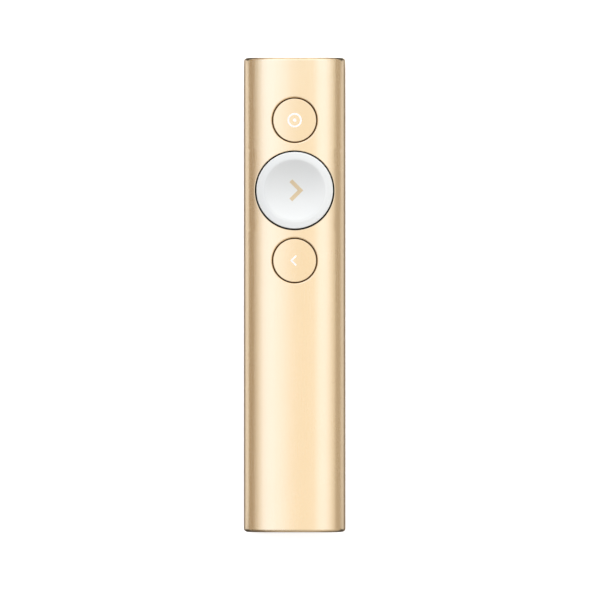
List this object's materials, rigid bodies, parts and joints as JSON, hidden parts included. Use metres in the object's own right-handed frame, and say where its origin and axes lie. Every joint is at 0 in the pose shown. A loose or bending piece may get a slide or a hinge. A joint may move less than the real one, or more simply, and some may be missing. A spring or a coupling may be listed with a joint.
{
  "type": "wireless presentation clicker",
  "caption": "slim hand-held presentation remote: oval aluminium tube with round buttons in a row, a vibration motor, and a USB receiver that slides out of its tail",
  "frame": {"origin": "middle of the footprint, on the flat strip of the back", "axes": "+X across, +Y towards the nose, +Z out of the front"},
  "size_m": [0.0282, 0.1314, 0.0121],
  "materials": {
    "gold_shell": "bead-blasted, gold anodised, satin",
    "gold_cap": "turned, gold anodised, satin",
    "white_plastic": "moulded, fine spark texture",
    "pale_grey_plastic": "moulded, fine spark texture",
    "grey_moulding": "glass-filled moulding",
    "green_board": "solder mask",
    "black_package": "moulded epoxy",
    "ceramic_chip": "fired ceramic",
    "steel": "stamped, nickel plated",
    "screw_steel": "black zinc",
    "cell_foil": "laminated foil pouch",
    "foam_tape": "closed-cell foam",
    "wire_sheath": "silicone sheath",
    "rubber_pad": "moulded rubber",
    "contact_gold": "gilt plating",
    "tungsten": "sintered tungsten",
    "clear_plastic": "clear moulded rod",
    "woven_strap": "woven polyester"
  },
  "bodies": {
    "casing": {"body_shell": "gold_shell", "top_cap": "pale_grey_plastic", "base_bezel": "pale_grey_plastic", "chassis": "grey_moulding", "button_deck": "grey_moulding", "deck_screws": "screw_steel", "main_board": "green_board", "radio_chip": "black_package", "motion_sensor": "black_package", "charger_chip": "black_package", "chip_antenna": "ceramic_chip", "status_led": "ceramic_chip", "light_pipe": "clear_plastic", "battery": "cell_foil", "battery_tape": "foam_tape", "battery_socket": "white_plastic", "battery_leads": "wire_sheath", "motor_can": "steel", "motor_pads": "rubber_pad", "motor_leads": "wire_sheath", "charge_socket": "steel", "charge_tongue": "black_package", "receiver_bay": "grey_moulding", "bay_screws": "screw_steel", "pointer_dome": "steel", "pointer_switch": "black_package", "next_dome": "steel", "next_switch": "black_package", "back_dome": "steel", "back_switch": "black_package"},
    "pointer_button": {"pointer_cap": "gold_cap", "pointer_carrier": "grey_moulding", "pointer_plunger": "black_package"},
    "next_button": {"next_cap": "white_plastic", "next_carrier": "grey_moulding", "next_plunger": "black_package"},
    "back_button": {"back_cap": "gold_cap", "back_carrier": "grey_moulding", "back_plunger": "black_package"},
    "motor_rotor": {"motor_shaft": "steel", "motor_weight": "tungsten"},
    "receiver": {"receiver_contacts": "contact_gold", "receiver_housing": "white_plastic", "receiver_plug": "steel", "receiver_tongue": "white_plastic", "receiver_board": "green_board", "receiver_strap": "woven_strap"}
  },
  "joints": [
    {"name": "pointer_press", "type": "slide", "parent": "casing", "child": "pointer_button", "axis": [0, 0, -1], "range_m": [0, 0.00035], "stiffness_N_per_m": 1500, "springref_m": -0.0003, "deforming": ["pointer_dome"]},
    {"name": "next_press", "type": "slide", "parent": "casing", "child": "next_button", "axis": [0, 0, -1], "range_m": [0, 0.00035], "stiffness_N_per_m": 1500, "springref_m": -0.0003, "deforming": ["next_dome"]},
    {"name": "back_press", "type": "slide", "parent": "casing", "child": "back_button", "axis": [0, 0, -1], "range_m": [0, 0.00035], "stiffness_N_per_m": 1500, "springref_m": -0.0003, "deforming": ["back_dome"]},
    {"name": "motor_spin", "type": "hinge", "parent": "casing", "child": "motor_rotor", "pos_m": [0, 0.0406, 0.00405], "axis": [0, 1, 0], "continuous": true},
    {"name": "receiver_slide", "type": "slide", "parent": "casing", "child": "receiver", "axis": [0, -1, 0], "range_m": [0, 0.024]}
  ]
}
